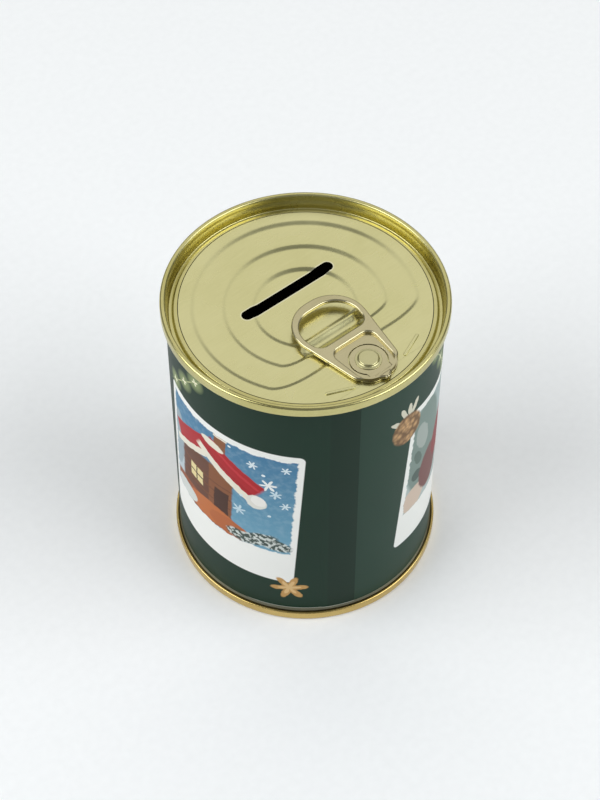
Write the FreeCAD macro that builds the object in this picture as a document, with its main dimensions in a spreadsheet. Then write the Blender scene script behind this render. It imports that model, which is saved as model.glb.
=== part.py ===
import FreeCAD, Part
import math
import os

import Sketcher

# Tin money box: a three-piece tinplate can with a ring-pull end that has a coin slot.
# Frame: origin at the centre of the base, +Z up. The tab's nose points along -Y and the
# coin slot runs along X. Millimetres throughout.

doc = FreeCAD.newDocument("tin_money_box")

# ---------------------------------------------------------------------------
# Driving dimensions
# ---------------------------------------------------------------------------
SIZES = [
    # name, millimetres (or degrees), what it is
    ("can_height", 95.6, "over both double seams"),
    ("seam_radius", 38.0, "outside of the double seams"),
    ("seam_height", 3.0, "length of the double seam's hooks"),
    ("end_plate", 0.24, "tinplate of the two ends"),
    ("body_plate", 0.20, "tinplate of the tube"),
    ("film", 0.09, "sealing film between the hooks' layers"),
    ("lining_space", 0.25, "room for compound over the body hook"),
    ("lining_play", 0.025, "left above and below the compound"),
    ("fold_radius", 0.28, "middle of each hook's fold"),
    ("hook_overlap_gap", 0.35, "free end of a hook to the fold that faces it"),
    ("neck_in", 0.45, "tube is smaller than its seam by this radius"),
    ("neck_start", 0.05, "seam to the start of that taper"),
    ("neck_length", 0.75, "height of that taper"),
    ("weld_width", 0.8, "lap of the tube's welded side seam"),
    ("weld_rise", 0.12, "how far the lap stands in from the wall"),
    ("panel_depth", 3.35, "top of the seam down to the panel"),
    ("groove_depth", 1.1, "countersink groove below the panel"),
    ("groove_inner_inset", 3.35, "seam's outside to the middle of the groove's inner wall"),
    ("groove_outer_inset", 2.05, "seam's outside to the middle of the groove's outer wall"),
    ("groove_radius", 0.42, "rounding of the groove"),
    ("chuck_bend", 1.9, "seam top down to the chuck wall's bend"),
    ("chuck_round", 2.0, "radius of that bend"),
    ("score_inset", 4.6, "seam's outside to the middle of the scored line"),
    ("score_gap", 0.2, "width of the scored line"),
    ("bead_step", 0.5, "drop of each stepped bead"),
    ("bead_slope", 65.0, "degrees of its flank from upright"),
    ("bead_one_radius", 30.2, ""),
    ("bead_one_chord", 19.6, "distance of its straight side from the axis"),
    ("bead_one_corner", 7.0, ""),
    ("bead_two_radius", 21.9, ""),
    ("bead_two_chord", 14.0, ""),
    ("bead_two_corner", 4.5, ""),
    ("bead_three_radius", 14.1, ""),
    ("bead_three_chord", 9.6, ""),
    ("bead_three_corner", 3.0, ""),
    ("well_half", 11.6, "half length of the finger well"),
    ("well_near", 9.2, "its edge towards the middle of the panel"),
    ("well_far", 14.6, "its edge towards the rivet"),
    ("well_depth", 0.8, "below the third bead"),
    ("well_slope", 54.0, "degrees of its flanks from upright"),
    ("well_round", 1.5, "rounding of its corners"),
    ("slot_length", 30.3, "coin slot"),
    ("slot_width", 3.2, ""),
    ("slot_place", 7.4, "its middle from the axis"),
    ("bar_radius", 30.4, "stiffening bars beside the nose"),
    ("bar_length", 8.0, ""),
    ("bar_width", 0.9, ""),
    ("bar_rise", 0.3, ""),
    ("bar_flank", 0.192, "plate beside the hollow of a bar"),
    ("bar_angle", 23.0, "degrees either side of the tab"),
    ("rivet_place", 25.0, "rivet's axis from the can's axis"),
    ("rivet_head", 3.5, "radius of the flattened head"),
    ("rivet_shank", 2.3, ""),
    ("rivet_bore", 1.7, "hollow drawn from below"),
    ("rivet_crown", 0.75, "thickness of the head"),
    ("rivet_edge", 0.35, "rounding of the head"),
    ("rivet_play", 0.05, "between the shank and the tongue"),
    ("tab_lift_gap", 0.15, "panel to the underside of the tab"),
    ("tab_sheet", 0.35, "tab's web and tongue"),
    ("tab_rim", 1.25, "height of the tab's curled rim"),
    ("tab_rim_round", 0.5, "rounding of the rim's edges"),
    ("bend_reach", 5.25, "rivet to the line where the tab bends"),
    ("nose_reach", 2.95, "bend line to the tip of the nose"),
    ("nose_round", 0.7, ""),
    ("shoulder_half", 7.2, "half width where the nose begins"),
    ("shoulder_back", 4.6, "tip to that shoulder"),
    ("shoulder_round", 3.0, ""),
    ("ring_half", 12.4, "half width of the ring's squared end"),
    ("ring_round", 9.6, "rounding of that end"),
    ("tab_length", 32.6, "tip of the nose to the end of the ring"),
    ("loop_bar", 2.8, "width of the ring's bar"),
    ("loop_length", 11.9, "finger hole along the tab"),
    ("loop_half_end", 9.7, "its half width at the ring's end"),
    ("loop_half_near", 8.0, "its half width at the cross web"),
    ("loop_round_end", 6.8, ""),
    ("loop_round_near", 3.0, ""),
    ("cross_web", 2.4, "finger hole to the sunk window"),
    ("window_half", 6.7, "half width of the sunk window"),
    ("window_half_nose", 5.6, ""),
    ("window_round", 2.5, ""),
    ("window_round_nose", 4.6, ""),
    ("window_slope", 35.0, "degrees of its bevel"),
    ("nose_rim", 2.0, "tip of the nose to the window"),
    ("tongue_radius", 4.9, "island held by the rivet"),
    ("tongue_neck", 3.4, "half width of its neck"),
    ("slit", 0.3, "width of the cut round the island"),
    ("fold_back", 0.3, "bend line of the tab to the fold of the lip"),
    ("bend_gap", 0.03, "left open along a bend line between the pieces that it joins"),
    ("paper", 0.10, "label paper"),
    ("paper_gap", 0.03, "tube to label"),
    ("label_margin", 0.95, "seam to the edge of the label"),
    ("lap_width", 9.0, "label's overlap, along the paper"),
    ("lap_glue", 0.04, ""),
    ("lap_climb", 0.6, "degrees over which the paper climbs onto itself"),
    ("glue_margin", 1.0, "edges of the label to the glue"),
    ("glue_inset", 0.5, "degrees from the ends of the lap to the glue"),
    ("lap_azimuth", -107.5, "degrees, where the label's free edge lies"),
    ("base_disc", 9.0, "flat middle of the bottom end"),
    ("base_bead", 0.6, "drop of the bottom end's beads"),
    ("base_bead_in", 13.5, "inner edge of its raised ring"),
    ("base_bead_out", 24.5, "outer edge of that ring"),
    ("base_bead_flank", 1.3, "width of each flank"),
]

sheet = doc.addObject("Spreadsheet::Sheet", "sizes")
for row, (alias, number, meaning) in enumerate(SIZES, start=1):
    sheet.set("A%d" % row, alias)
    sheet.set("B%d" % row, str(number))
    sheet.setAlias("B%d" % row, alias)
    sheet.set("C%d" % row, meaning)
doc.recompute()

# Names that several pieces share, written in terms of the sheet
WALL_MIDDLE = "(seam_radius - 2 * end_plate - 1.5 * body_plate - 3 * film)"
HOOK_MIDDLE = "(seam_radius - end_plate - film - body_plate / 2)"
COVER_HOOK = "(seam_radius - 1.5 * end_plate - 2 * film - body_plate)"
CHUCK_MIDDLE = "(seam_radius - 2.5 * end_plate - 2 * body_plate - 4 * film)"
BODY_RADIUS = "(seam_radius - 2 * end_plate - body_plate - 3 * film - neck_in)"
HOOK_TOP = "(end_plate + lining_space + body_plate / 2)"  # down from the seam's top
PANEL_LEVEL = "(can_height - panel_depth)"
GROOVE_INNER = "(seam_radius - groove_inner_inset)"
GROOVE_OUTER = "(seam_radius - groove_outer_inset)"
SCORE_IN = "(seam_radius - score_inset - score_gap / 2)"
SCORE_OUT = "(seam_radius - score_inset + score_gap / 2)"
BEND_LINE = "(rivet_place + bend_reach)"
NOSE_TIP = "(rivet_place + bend_reach + nose_reach)"
LIP_FOLD = "(rivet_place + bend_reach - fold_back)"


def value(expression):
    """The number that an expression of sheet names has now."""
    return float(sheet.evalExpression(expression))


def bound(expression):
    """The same expression as another object has to write it."""
    words = ""
    out = ""
    for letter in expression + " ":
        if letter.isalnum() or letter == "_":
            words += letter
            continue
        if words[:1].isalpha() and words != "pi":
            words = "sizes." + words
        out += words + letter
        words = ""
    return out.strip()


def tie(thing, name, expression):
    """Set one property of an object from the sheet."""
    thing.setExpression(name, bound(expression))


def hold(sketch, kind, *where_and_expression):
    """A sketch constraint whose size comes from the sheet."""
    *where, expression = where_and_expression
    number = sketch.addConstraint(Sketcher.Constraint(kind, *where, value(expression)))
    tie(sketch, "Constraints[%d]" % number, expression)


def origin_plane(body, role):
    for feature in body.Origin.OriginFeatures:
        if feature.Role == role:
            return feature


def new_body(name):
    return doc.addObject("PartDesign::Body", name)


def new_sketch(body, name, role="XY_Plane", rise=None):
    """A sketch on one of its own body's planes, raised off it if asked."""
    sketch = body.newObject("Sketcher::SketchObject", name)
    sketch.AttachmentSupport = (origin_plane(body, role), [""])
    sketch.MapMode = "FlatFace"
    if rise is not None:
        tie(sketch, "AttachmentOffset.Base.z", rise)
    return sketch


def draw_outline(sketch, corners, closed=True):
    """Lines from corner to corner, each corner (x, y, radius) in words of the sheet.

    A radius of None leaves the corner sharp. Every corner is held by its coordinates, and
    every arc is tangent to the two lines that it joins.
    """
    spots = [FreeCAD.Vector(value(x), value(y), 0) for x, y, _ in corners]
    radii = [0.0 if radius is None else value(radius) for _, _, radius in corners]
    count = len(corners)
    enter, leave, arcs = [], [], {}
    for k in range(count):
        inner = closed or 0 < k < count - 1
        if not (inner and radii[k]):
            enter.append(spots[k])
            leave.append(spots[k])
            continue
        back = (spots[k - 1] - spots[k]).normalize()
        ahead = (spots[(k + 1) % count] - spots[k]).normalize()
        half = back.getAngle(ahead) / 2
        middle = (back + ahead).normalize()
        cut = radii[k] / math.tan(half)
        reach = (cut * cut + radii[k] * radii[k]) ** 0.5
        first = spots[k] + back * cut
        last = spots[k] + ahead * cut
        enter.append(first)
        leave.append(last)
        centre = spots[k] + middle * reach
        turn = [math.atan2(point.y - centre.y, point.x - centre.x) for point in (first, last)]
        swapped = (turn[1] - turn[0]) % (2 * math.pi) > math.pi
        if swapped:
            turn.reverse()
        circle = Part.Circle(centre, FreeCAD.Vector(0, 0, 1), radii[k])
        arcs[k] = (Part.ArcOfCircle(circle, *turn), swapped)
    lines = []
    for k in range(count if closed else count - 1):
        lines.append(sketch.addGeometry(Part.LineSegment(leave[k], enter[(k + 1) % count])))
    for k in range(count):
        x, y, radius = corners[k]
        before = lines[k - 1] if closed or k > 0 else None
        after = lines[k] if k < len(lines) else None
        if k not in arcs:
            line, end = (after, 1) if after is not None else (before, 2)
            if before is not None and after is not None:
                sketch.addConstraint(Sketcher.Constraint("Coincident", before, 2, after, 1))
            hold(sketch, "DistanceX", -1, 1, line, end, x)
            hold(sketch, "DistanceY", -1, 1, line, end, y)
            continue
        shape, swapped = arcs[k]
        arc = sketch.addGeometry(shape)
        first, last = (2, 1) if swapped else (1, 2)
        sketch.addConstraint(Sketcher.Constraint("Tangent", before, 2, arc, first))
        sketch.addConstraint(Sketcher.Constraint("Tangent", after, 1, arc, last))
        hold(sketch, "Radius", arc, radius)
        spot = sketch.addGeometry(Part.Point(spots[k]), True)
        hold(sketch, "DistanceX", -1, 1, spot, 1, x)
        hold(sketch, "DistanceY", -1, 1, spot, 1, y)
        sketch.addConstraint(Sketcher.Constraint("PointOnObject", spot, 1, before))
        sketch.addConstraint(Sketcher.Constraint("PointOnObject", spot, 1, after))
    return sketch


def draw_circle(sketch, x, y, radius):
    """A circle held by its centre and its radius."""
    circle = sketch.addGeometry(
        Part.Circle(FreeCAD.Vector(value(x), value(y), 0), FreeCAD.Vector(0, 0, 1), value(radius))
    )
    hold(sketch, "DistanceX", -1, 1, circle, 3, x)
    hold(sketch, "DistanceY", -1, 1, circle, 3, y)
    hold(sketch, "Radius", circle, radius)
    return sketch


def draw_cut_disc(sketch, radius, chord, corner=None):
    """A disc about the origin whose -Y side is cut off straight, with rounded corners if asked."""
    big, low = value(radius), -value(chord)
    if corner is None:
        half = (big * big - low * low) ** 0.5
        right, left = FreeCAD.Vector(half, low, 0), FreeCAD.Vector(-half, low, 0)
        top = FreeCAD.Vector(0, big, 0)
        arc = sketch.addGeometry(Part.Arc(right, top, left))
        line = sketch.addGeometry(Part.LineSegment(left, right))
        sketch.addConstraint(Sketcher.Constraint("Coincident", arc, 2, line, 1))
        sketch.addConstraint(Sketcher.Constraint("Coincident", arc, 1, line, 2))
    else:
        small = value(corner)
        rise = low + small
        half = ((big - small) ** 2 - rise * rise) ** 0.5
        middle = FreeCAD.Vector(half, rise, 0)
        touch = middle * (big / middle.Length)
        foot = FreeCAD.Vector(half, low, 0)
        between = middle + ((touch - middle) + (foot - middle)).normalize() * small

        def mirrored(point):
            return FreeCAD.Vector(-point.x, point.y, 0)

        arc = sketch.addGeometry(Part.Arc(touch, FreeCAD.Vector(0, big, 0), mirrored(touch)))
        left = sketch.addGeometry(Part.Arc(mirrored(touch), mirrored(between), mirrored(foot)))
        line = sketch.addGeometry(Part.LineSegment(mirrored(foot), foot))
        right = sketch.addGeometry(Part.Arc(foot, between, touch))
        for before, after in ((arc, left), (left, line), (line, right), (right, arc)):
            sketch.addConstraint(Sketcher.Constraint("Tangent", before, 2, after, 1))
        hold(sketch, "Radius", left, corner)
        hold(sketch, "Radius", right, corner)
    sketch.addConstraint(Sketcher.Constraint("Coincident", arc, 3, -1, 1))
    sketch.addConstraint(Sketcher.Constraint("Horizontal", line))
    hold(sketch, "Radius", arc, radius)
    hold(sketch, "DistanceY", -1, 1, line, 1, "-(%s)" % chord)
    return sketch


def pad(body, sketch, length, name, down=False):
    feature = body.newObject("PartDesign::Pad", name)
    feature.Profile = sketch
    feature.Length = value(length)
    tie(feature, "Length", length)
    feature.Reversed = down
    return feature


def pocket(body, sketch, depth, name, slope=None, up=False):
    """A pocket whose walls lean inwards as it goes deeper, by slope in degrees from upright."""
    feature = body.newObject("PartDesign::Pocket", name)
    feature.Profile = sketch
    feature.Length = value(depth)
    tie(feature, "Length", depth)
    feature.Reversed = up
    if slope is not None:
        feature.TaperAngle = -value(slope)
        tie(feature, "TaperAngle", "-" + slope)
    return feature


def sheet_of_revolution(name, corners, thickness):
    """Sheet metal turned about Z: corners (radius, height, bend) of its middle line, one thickness."""
    line = doc.addObject("Sketcher::SketchObject", name + "_middle_line")
    draw_outline(line, corners, closed=False)
    line.Placement = FreeCAD.Placement(
        FreeCAD.Vector(0, 0, 0), FreeCAD.Rotation(FreeCAD.Vector(1, 0, 0), 90)
    )
    section = doc.addObject("Part::Offset2D", name + "_section")
    section.Source = line
    tie(section, "Value", thickness + " / 2")
    section.Fill = True
    turned = doc.addObject("Part::Revolution", name + "_turned")
    turned.Source = section
    turned.Axis = (0, 0, 1)
    turned.Base = (0, 0, 0)
    turned.Angle = 360
    return turned


def join(name, pieces):
    fused = doc.addObject("Part::MultiFuse", name)
    fused.Shapes = pieces
    fused.Refine = True
    return fused


def ring(name, inner, outer, low, height, sweep=None, start=None):
    """A plain ring between two radii, or the part of one that sweeps from a start azimuth."""
    outside = doc.addObject("Part::Cylinder", name + "_outside")
    inside = doc.addObject("Part::Cylinder", name + "_inside")
    for cylinder, radius in ((outside, outer), (inside, inner)):
        tie(cylinder, "Radius", radius)
        tie(cylinder, "Height", height)
        tie(cylinder, "Placement.Base.z", low)
    cut = doc.addObject("Part::Cut", name)
    cut.Base = outside
    cut.Tool = inside
    if sweep is not None:
        tie(outside, "Angle", sweep)
        cut.Placement = FreeCAD.Placement(
            FreeCAD.Vector(0, 0, 0), FreeCAD.Rotation(FreeCAD.Vector(0, 0, 1), 1)
        )
        tie(cut, "Placement.Rotation.Angle", start)
    return cut


parts = []


def finish_part(thing, node):
    thing.Label = node
    parts.append(thing)


# ---------------------------------------------------------------------------
# Tube of the can: rolled, lap-welded, necked under each seam, rims folded into hooks
# ---------------------------------------------------------------------------
def side_of_tube(level, sign):
    """Corners of one rim's hook and neck; level and sign say which end of the can it is."""
    hook_end = "%s %s (seam_height - end_plate - hook_overlap_gap)" % (level, sign)
    hook_fold = "%s %s %s" % (level, sign, HOOK_TOP)
    neck_start = "%s %s (seam_height + neck_start)" % (level, sign)
    neck_end = "%s %s (seam_height + neck_start + neck_length)" % (level, sign)
    return [
        (HOOK_MIDDLE, hook_end, None),
        (HOOK_MIDDLE, hook_fold, "fold_radius"),
        (WALL_MIDDLE, hook_fold, "fold_radius"),
        (WALL_MIDDLE, neck_start, "fold_radius"),
        (WALL_MIDDLE + " - neck_in", neck_end, "fold_radius"),
    ]


tube = sheet_of_revolution(
    "tube",
    side_of_tube("0", "+") + side_of_tube("can_height", "-")[::-1],
    "body_plate",
)
WELD_LOW = "(panel_depth + groove_depth + 2 * end_plate)"  # clear of the ends' grooves
weld = doc.addObject("Part::Box", "weld_lap")
tie(weld, "Length", "weld_width")
tie(weld, "Width", "weld_rise + body_plate / 2")
tie(weld, "Height", "can_height - 2 * " + WELD_LOW)
tie(weld, "Placement.Base.x", "-weld_width / 2")
tie(weld, "Placement.Base.y", BODY_RADIUS + " - body_plate - weld_rise")
tie(weld, "Placement.Base.z", WELD_LOW)
finish_part(join("can_tube", [tube, weld]), "can_body")


# ---------------------------------------------------------------------------
# Ends: what both have in common is the seam, the chuck wall and the countersink groove
# ---------------------------------------------------------------------------
def rim_of_end(level, sign):
    """Corners from the countersink out to the cover hook, for an end at level."""
    panel = "%s %s (panel_depth + end_plate / 2)" % (level, sign)
    groove = "%s %s (panel_depth + groove_depth + end_plate / 2)" % (level, sign)
    bend = "%s %s chuck_bend" % (level, sign)
    crown = "%s %s end_plate / 2" % (level, sign)
    foot = "%s %s (seam_height - end_plate / 2)" % (level, sign)
    hook_end = "%s %s (%s + body_plate / 2 + hook_overlap_gap)" % (level, sign, HOOK_TOP)
    return [
        (GROOVE_INNER, panel, "groove_radius"),
        (GROOVE_INNER, groove, "groove_radius"),
        (GROOVE_OUTER, groove, "groove_radius"),
        (CHUCK_MIDDLE, bend, "chuck_round"),
        (CHUCK_MIDDLE, crown, "fold_radius + end_plate / 2"),
        ("(seam_radius - end_plate / 2)", crown, "fold_radius + end_plate"),
        ("(seam_radius - end_plate / 2)", foot, "fold_radius"),
        (COVER_HOOK, foot, "fold_radius"),
        (COVER_HOOK, hook_end, None),
    ]


top_ring = sheet_of_revolution(
    "top_ring",
    [(SCORE_OUT + " + end_plate / 2", PANEL_LEVEL + " - end_plate / 2", None)]
    + rim_of_end("can_height", "-"),
    "end_plate",
)
finish_part(top_ring, "top_end_ring")

BASE_LEVEL = "(panel_depth + end_plate / 2)"
base_pan = sheet_of_revolution(
    "base_pan",
    [
        ("base_disc", BASE_LEVEL, None),
        ("base_bead_in", BASE_LEVEL, "groove_radius"),
        ("base_bead_in + base_bead_flank", BASE_LEVEL + " + base_bead", "groove_radius"),
        ("base_bead_out - base_bead_flank", BASE_LEVEL + " + base_bead", "groove_radius"),
        ("base_bead_out", BASE_LEVEL, "groove_radius"),
    ]
    + rim_of_end("0", "+"),
    "end_plate",
)
base_middle = doc.addObject("Part::Cylinder", "base_middle")
tie(base_middle, "Radius", "base_disc + end_plate")
tie(base_middle, "Height", "end_plate")
tie(base_middle, "Placement.Base.z", "panel_depth")
finish_part(join("base_end", [base_pan, base_middle]), "bottom_end")

for node, low in (
    ("top_seam_compound", "can_height - end_plate - lining_space + lining_play"),
    ("bottom_seam_compound", "end_plate + lining_play"),
):
    lining = ring(
        node + "_ring",
        WALL_MIDDLE + " + fold_radius / 2",
        HOOK_MIDDLE + " - fold_radius / 2",
        low,
        "lining_space - 2 * lining_play",
    )
    finish_part(lining, node)


# ---------------------------------------------------------------------------
# Tear panel: pressed from one sheet, so it is the difference of two equal blocks that
# are one plate thickness apart in height
# ---------------------------------------------------------------------------
BEADS = ["bead_one", "bead_two", "bead_three"]
BLOCK_MARGIN = " + 1"  # how far a hollowing block runs past the plate
NEARLY_ROUND = " * 0.98"  # of a half circle, so that a slot's end keeps a short line


def draw_slot(sketch, length, width, x, y):
    """A slot with round ends, along X."""
    reach, half = "(%s) / 2" % length, "(%s) / 2" % width
    corners = []
    for across, along in (("-", "-"), ("-", "+"), ("+", "+"), ("+", "-")):
        corners.append(
            ("%s %s %s" % (x, along, reach), "%s %s %s" % (y, across, half), half + NEARLY_ROUND)
        )
    return draw_outline(sketch, corners)


def draw_bar(sketch, width):
    return draw_slot(sketch, "bar_length", width, "0", "-bar_radius")


def panel_block(name, under):
    """The sheet's upper face on top of a thick block; under makes the block that hollows it."""
    body = new_body(name)
    rim = SCORE_IN + BLOCK_MARGIN if under else SCORE_IN
    fold = LIP_FOLD + BLOCK_MARGIN if under else LIP_FOLD
    depth = "end_plate + 3 * bead_step + well_depth" + 3 * BLOCK_MARGIN
    disc = draw_cut_disc(new_sketch(body, name + "_disc"), rim, fold)
    pad(body, disc, depth + BLOCK_MARGIN if under else depth, name + "_disc_pad", down=True)
    for step, bead in enumerate(BEADS):
        outline = new_sketch(body, "%s_%s" % (name, bead), rise="-%d * bead_step" % step)
        draw_cut_disc(outline, bead + "_radius", bead + "_chord", bead + "_corner")
        pocket(body, outline, "bead_step", "%s_%s_cut" % (name, bead), slope="bead_slope")
    well = new_sketch(body, name + "_well", rise="-bead_step")
    draw_outline(
        well,
        [
            ("-well_half", "-well_far", "well_round"),
            ("well_half", "-well_far", "well_round"),
            ("well_half", "-well_near", "well_round"),
            ("-well_half", "-well_near", "well_round"),
        ],
    )
    pocket(body, well, "well_depth + 2 * bead_step", name + "_well_cut", slope="well_slope")
    narrow = "bar_width - 2 * bar_flank" if under else "bar_width"
    for side, turn in (("left", "-bar_angle"), ("right", "bar_angle")):
        bar = new_sketch(body, "%s_bar_%s" % (name, side))
        tie(bar, "AttachmentOffset.Rotation.Angle", turn)
        draw_bar(bar, narrow)
        pad(body, bar, "bar_rise", "%s_bar_%s_pad" % (name, side))
    if under:
        hollow = draw_circle(new_sketch(body, name + "_hollow"), "0", "-rivet_place", "rivet_bore")
        pad(body, hollow, "tab_lift_gap + tab_sheet + end_plate", name + "_hollow_pad")
        return body
    shank = draw_circle(new_sketch(body, name + "_shank"), "0", "-rivet_place", "rivet_shank")
    pad(body, shank, "tab_lift_gap + tab_sheet + rivet_play", name + "_shank_pad")
    head = new_sketch(body, name + "_head", rise="tab_lift_gap + tab_sheet + rivet_play")
    draw_circle(head, "0", "-rivet_place", "rivet_head")
    crown = pad(body, head, "rivet_crown", name + "_head_pad")
    doc.recompute()
    round_edges(body, crown, "rivet_edge", lambda box: box.ZMin > value("rivet_crown"))
    slot = new_sketch(body, name + "_slot")
    draw_slot(slot, "slot_length", "slot_width", "0", "slot_place")
    pocket(body, slot, depth, name + "_slot_cut")
    return body


def round_edges(body, base, radius, wanted):
    """Round the edges of a feature whose box satisfies wanted."""
    names = [
        "Edge%d" % (k + 1) for k, edge in enumerate(base.Shape.Edges) if wanted(edge.BoundBox)
    ]
    feature = body.newObject("PartDesign::Fillet", base.Name + "_round")
    feature.Base = (base, names)
    feature.Radius = value(radius)
    tie(feature, "Radius", radius)
    doc.recompute()
    return feature


upper = panel_block("panel_upper", under=False)
lower = panel_block("panel_lower", under=True)
tie(lower, "Placement.Base.z", "-end_plate")
pressed = doc.addObject("Part::Cut", "pressed_panel")
pressed.Base = upper
pressed.Tool = lower
tie(pressed, "Placement.Base.z", PANEL_LEVEL)
finish_part(pressed, "tear_panel")


def draw_segment(sketch, radius, chord):
    """The part of a disc about the origin that lies beyond a chord on its -Y side."""
    big, low = value(radius), -value(chord)
    half = (big * big - low * low) ** 0.5
    left, right = FreeCAD.Vector(-half, low, 0), FreeCAD.Vector(half, low, 0)
    arc = sketch.addGeometry(Part.Arc(left, FreeCAD.Vector(0, -big, 0), right))
    line = sketch.addGeometry(Part.LineSegment(right, left))
    sketch.addConstraint(Sketcher.Constraint("Coincident", arc, 2, line, 1))
    sketch.addConstraint(Sketcher.Constraint("Coincident", arc, 1, line, 2))
    sketch.addConstraint(Sketcher.Constraint("Coincident", arc, 3, -1, 1))
    sketch.addConstraint(Sketcher.Constraint("Horizontal", line))
    hold(sketch, "Radius", arc, radius)
    hold(sketch, "DistanceY", -1, 1, line, 1, "-(%s)" % chord)
    return sketch


lip = new_body("lip")
pad(
    lip,
    draw_segment(new_sketch(lip, "lip_outline"), SCORE_IN, LIP_FOLD + " + bend_gap"),
    "end_plate",
    "lip_sheet",
)
tie(lip, "Placement.Base.z", PANEL_LEVEL + " - end_plate")
finish_part(lip, "pry_lip")


# ---------------------------------------------------------------------------
# Tab: the ring with its nose, and the island that the rivet holds
# ---------------------------------------------------------------------------
TAB_LEVEL = PANEL_LEVEL + " + tab_lift_gap"


def draw_block(sketch, half, low, high):
    """A rectangle that is symmetric about the Y axis."""
    corners = [("-(%s)" % half, low, None), (half, low, None)]
    corners += [(half, high, None), ("-(%s)" % half, high, None)]
    return draw_outline(sketch, corners)


def both_sides(half_outline):
    """Corners of the +X side from the -Y end to the +Y end, closed by their mirror image."""
    mirror = [("-(%s)" % x, y, radius) for x, y, radius in half_outline[::-1] if x != "0"]
    return half_outline + mirror


tongue = new_body("tongue")
island = draw_circle(new_sketch(tongue, "tongue_island"), "0", "-rivet_place", "tongue_radius")
pad(tongue, island, "tab_sheet", "tongue_island_pad")
neck = new_sketch(tongue, "tongue_neck_outline")
draw_block(neck, "tongue_neck", "-%s + bend_gap" % BEND_LINE, "-rivet_place")
pad(tongue, neck, "tab_sheet", "tongue_neck_pad")
hole = new_sketch(tongue, "tongue_hole")
draw_circle(hole, "0", "-rivet_place", "rivet_shank + rivet_play")
pocket(tongue, hole, "tab_sheet", "tongue_hole_cut", up=True)
tie(tongue, "Placement.Base.z", TAB_LEVEL)
finish_part(tongue, "tab_tongue")

tab = new_body("tab")
TIP = "-" + NOSE_TIP
RING_END = "(tab_length - rivet_place - bend_reach - nose_reach)"
outline = [
    ("0", TIP, "nose_round"),
    ("shoulder_half", "%s + shoulder_back" % TIP, "shoulder_round"),
    ("ring_half", RING_END, "ring_round"),
]
blank = pad(
    tab,
    draw_outline(new_sketch(tab, "tab_outline"), both_sides(outline)),
    "tab_rim",
    "tab_blank",
)
LOOP_NEAR = "(%s - loop_bar - loop_length)" % RING_END
loop_corners = [
    ("loop_half_near", LOOP_NEAR, "loop_round_near"),
    ("loop_half_end", "%s - loop_bar" % RING_END, "loop_round_end"),
]
loop = draw_outline(new_sketch(tab, "finger_loop"), both_sides(loop_corners))
ringed = pocket(tab, loop, "tab_rim", "finger_loop_cut", up=True)
doc.recompute()
rim_height = value("tab_rim")
rolled = round_edges(
    tab,
    ringed,
    "tab_rim_round",
    lambda box: box.ZLength < rim_height / 2,
)
window_corners = [
    ("window_half_nose", "%s + nose_rim" % TIP, "window_round_nose"),
    ("window_half", "%s - cross_web" % LOOP_NEAR, "window_round"),
]
window = new_sketch(tab, "rivet_window", rise="tab_rim")
draw_outline(window, both_sides(window_corners))
pocket(tab, window, "tab_rim - tab_sheet", "rivet_window_cut", slope="window_slope")
round_cut = new_sketch(tab, "island_cut")
draw_circle(round_cut, "0", "-rivet_place", "tongue_radius + slit")
pocket(tab, round_cut, "tab_rim", "island_cut_through", up=True)
neck_cut = new_sketch(tab, "neck_cut")
draw_block(neck_cut, "tongue_neck + slit / 2", "-" + BEND_LINE, "-rivet_place")
pocket(tab, neck_cut, "tab_rim", "neck_cut_through", up=True)
tie(tab, "Placement.Base.z", TAB_LEVEL)
finish_part(tab, "pull_tab")


# ---------------------------------------------------------------------------
# Label: one sheet round the tube, glued to itself along the lap
# ---------------------------------------------------------------------------
LABEL_IN = "(%s + paper_gap)" % BODY_RADIUS
LABEL_LOW = "seam_height + label_margin"
LABEL_HEIGHT = "can_height - 2 * (seam_height + label_margin)"
LAP_SWEEP = "(lap_width / %s * 180 / pi)" % BODY_RADIUS
lap_in = LABEL_IN + " + paper + lap_glue"
wrap = ring("label_wrap", LABEL_IN, LABEL_IN + " + paper", LABEL_LOW, LABEL_HEIGHT)
lap = ring(
    "label_lap",
    lap_in,
    lap_in + " + paper",
    LABEL_LOW,
    LABEL_HEIGHT,
    sweep=LAP_SWEEP,
    start="lap_azimuth - " + LAP_SWEEP,
)
climb = ring(
    "label_climb",
    LABEL_IN + " + paper / 2",
    lap_in + " + paper",
    LABEL_LOW,
    LABEL_HEIGHT,
    sweep="lap_climb",
    start="lap_azimuth - %s - lap_climb" % LAP_SWEEP,
)
finish_part(join("label_sheet", [wrap, lap, climb]), "label")
glue = ring(
    "lap_glue_strip",
    LABEL_IN + " + paper",
    lap_in,
    LABEL_LOW + " + glue_margin",
    LABEL_HEIGHT + " - 2 * glue_margin",
    sweep=LAP_SWEEP + " - 2 * glue_inset",
    start="lap_azimuth - %s + glue_inset" % LAP_SWEEP,
)
finish_part(glue, "label_lap_glue")

doc.recompute()
failed = []
for thing in doc.Objects:
    if "Invalid" in thing.State or "Error" in thing.State:
        failed.append(thing.Name)
for part in parts:
    if part.Shape.isNull() or not part.Shape.isValid():
        failed.append(part.Label)
if failed:
    raise RuntimeError("not built: " + ", ".join(failed))

os.makedirs("parts", exist_ok=True)
for part in parts:
    part.Shape.exportStep("parts/%s.step" % part.Label)
    box = part.Shape.BoundBox
    print(part.Label, len(part.Shape.Solids), round(part.Shape.Volume, 2), box)
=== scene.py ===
# %% [markdown]
# # A tin money box
# A three-piece food can with a ring-pull lid that has a coin slot punched in it. The tube and
# both ends are tinplate about a fifth of a millimetre thick, the ends are folded onto the tube in
# double seams, and a printed paper label goes once round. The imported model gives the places, the
# bodies and the joints. Everything that shows is modelled again here with finer edges.

# %% Load the frame
import math

import bmesh
import bpy
from mathutils import Matrix, Vector


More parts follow.
